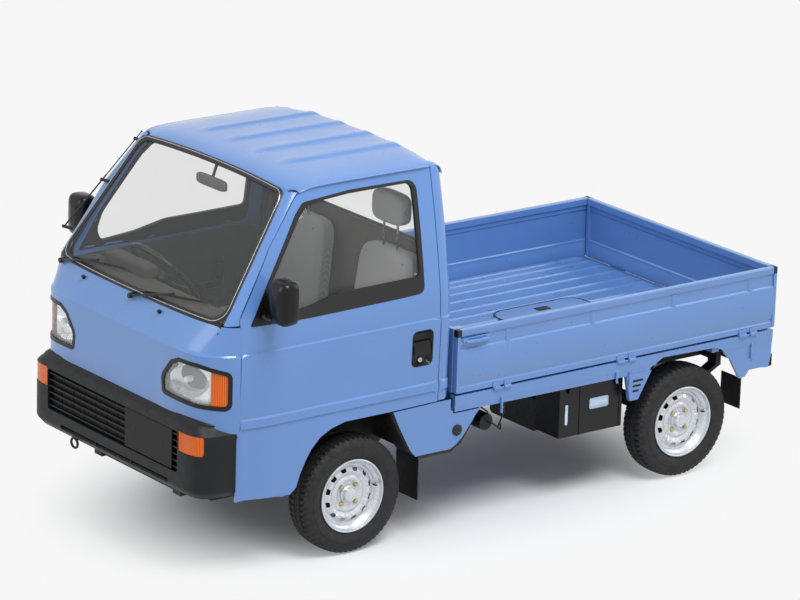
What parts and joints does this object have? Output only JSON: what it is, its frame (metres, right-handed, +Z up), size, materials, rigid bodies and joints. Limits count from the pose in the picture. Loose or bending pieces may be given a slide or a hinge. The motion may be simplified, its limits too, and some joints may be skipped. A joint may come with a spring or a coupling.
{
  "type": "kei truck",
  "caption": "Small cab-over pickup truck with hinged doors, a three-way dropside bed, steered front wheels and a free-turning steering wheel.",
  "frame": {"origin": "on the ground, on the centre line, halfway along the vehicle", "axes": "+X to the vehicle's left, +Y to its rear, +Z up; the cab faces -Y"},
  "size_m": [1.694, 3.255, 1.745],
  "materials": {
    "body_paint": "gloss light blue solid paint",
    "bed_paint": "semi-gloss light blue paint",
    "black_plastic": "matt moulded",
    "black_metal": "satin chassis black",
    "grey_trim": "grained",
    "floor_mat": "textured mat",
    "seat_cloth": "ribbed vinyl cloth",
    "clear_glass": "clear",
    "clear_lens": "fluted",
    "amber_lens": "fluted",
    "red_lens": "fluted",
    "tyre_rubber": "matt with tread",
    "wheel_silver": "silver paint",
    "steel": "satin",
    "cast": "as cast"
  },
  "bodies": {
    "chassis": {"chassis_frame": "black_metal", "cab_floor": "floor_mat", "front_panel": "body_paint", "windscreen_frame": "body_paint", "roof_panel": "body_paint", "cab_back_panel": "body_paint", "side_sills": "body_paint", "windscreen": "clear_glass", "rear_window": "clear_glass", "front_bumper": "black_plastic", "front_grille": "black_plastic", "headlights": "clear_lens", "front_indicators": "amber_lens", "wipers": "black_plastic", "antenna": "steel", "dashboard": "grey_trim", "seat_cushions": "seat_cloth", "seat_backs": "seat_cloth", "headrests": "seat_cloth", "interior_mirror": "black_plastic", "bed_floor": "bed_paint", "bed_frame": "bed_paint", "bed_front_board": "bed_paint", "battery_box": "black_plastic", "fuel_tank": "black_metal", "engine_block": "cast", "exhaust": "steel", "rear_axle": "black_metal", "front_suspension": "black_metal", "mudflaps": "black_plastic", "rear_bumper": "black_metal", "tail_lights": "red_lens"},
    "door_left": {"left_door": "body_paint", "left_door_glass": "clear_glass", "left_door_trim": "black_plastic"},
    "door_right": {"right_door": "body_paint", "right_door_glass": "clear_glass", "right_door_trim": "black_plastic"},
    "gate_left": {"left_gate": "bed_paint"},
    "gate_right": {"right_gate": "bed_paint"},
    "gate_rear": {"tailgate": "bed_paint"},
    "steering": {"steering_wheel": "black_plastic"},
    "knuckle_left": {"left_knuckle": "steel"},
    "knuckle_right": {"right_knuckle": "steel"},
    "wheel_front_left": {"front_left_tyre": "tyre_rubber", "front_left_rim": "wheel_silver"},
    "wheel_front_right": {"front_right_tyre": "tyre_rubber", "front_right_rim": "wheel_silver"},
    "wheel_rear_left": {"rear_left_tyre": "tyre_rubber", "rear_left_rim": "wheel_silver"},
    "wheel_rear_right": {"rear_right_tyre": "tyre_rubber", "rear_right_rim": "wheel_silver"}
  },
  "joints": [
    {"name": "left_door_hinge", "type": "hinge", "parent": "chassis", "child": "door_left", "pos_m": [0.7, -1.423, 0.9], "axis": [0, 0, -1], "range_deg": [0, 65]},
    {"name": "right_door_hinge", "type": "hinge", "parent": "chassis", "child": "door_right", "pos_m": [-0.7, -1.423, 0.9], "axis": [0, 0, 1], "range_deg": [0, 65]},
    {"name": "left_gate_hinge", "type": "hinge", "parent": "chassis", "child": "gate_left", "pos_m": [0.699, 0.675, 0.642], "axis": [0, 1, 0], "range_deg": [0, 172]},
    {"name": "right_gate_hinge", "type": "hinge", "parent": "chassis", "child": "gate_right", "pos_m": [-0.699, 0.675, 0.642], "axis": [0, -1, 0], "range_deg": [0, 172]},
    {"name": "tailgate_hinge", "type": "hinge", "parent": "chassis", "child": "gate_rear", "pos_m": [0, 1.6155, 0.642], "axis": [-1, 0, 0], "range_deg": [0, 172]},
    {"name": "steering_turn", "type": "hinge", "parent": "chassis", "child": "steering", "pos_m": [-0.335, -1.1235, 1.085], "axis": [0, 0.7431, 0.6691], "range_deg": [-540, 540]},
    {"name": "left_steer", "type": "hinge", "parent": "chassis", "child": "knuckle_left", "pos_m": [0.49, -0.7935, 0.268], "axis": [0, 0, 1], "range_deg": [-35, 35]},
    {"name": "front_left_roll", "type": "hinge", "parent": "knuckle_left", "child": "wheel_front_left", "pos_m": [0.6, -0.7935, 0.268], "axis": [1, 0, 0], "continuous": true},
    {"name": "right_steer", "type": "hinge", "parent": "chassis", "child": "knuckle_right", "pos_m": [-0.49, -0.7935, 0.268], "axis": [0, 0, 1], "range_deg": [-35, 35]},
    {"name": "front_right_roll", "type": "hinge", "parent": "knuckle_right", "child": "wheel_front_right", "pos_m": [-0.6, -0.7935, 0.268], "axis": [1, 0, 0], "continuous": true},
    {"name": "rear_left_roll", "type": "hinge", "parent": "chassis", "child": "wheel_rear_left", "pos_m": [0.6, 1.1065, 0.268], "axis": [1, 0, 0], "continuous": true},
    {"name": "rear_right_roll", "type": "hinge", "parent": "chassis", "child": "wheel_rear_right", "pos_m": [-0.6, 1.1065, 0.268], "axis": [1, 0, 0], "continuous": true}
  ],
  "couplings": [
    {"joint": "left_steer", "follows": "steering_turn", "ratio": 0.0648},
    {"joint": "right_steer", "follows": "steering_turn", "ratio": 0.0648}
  ]
}
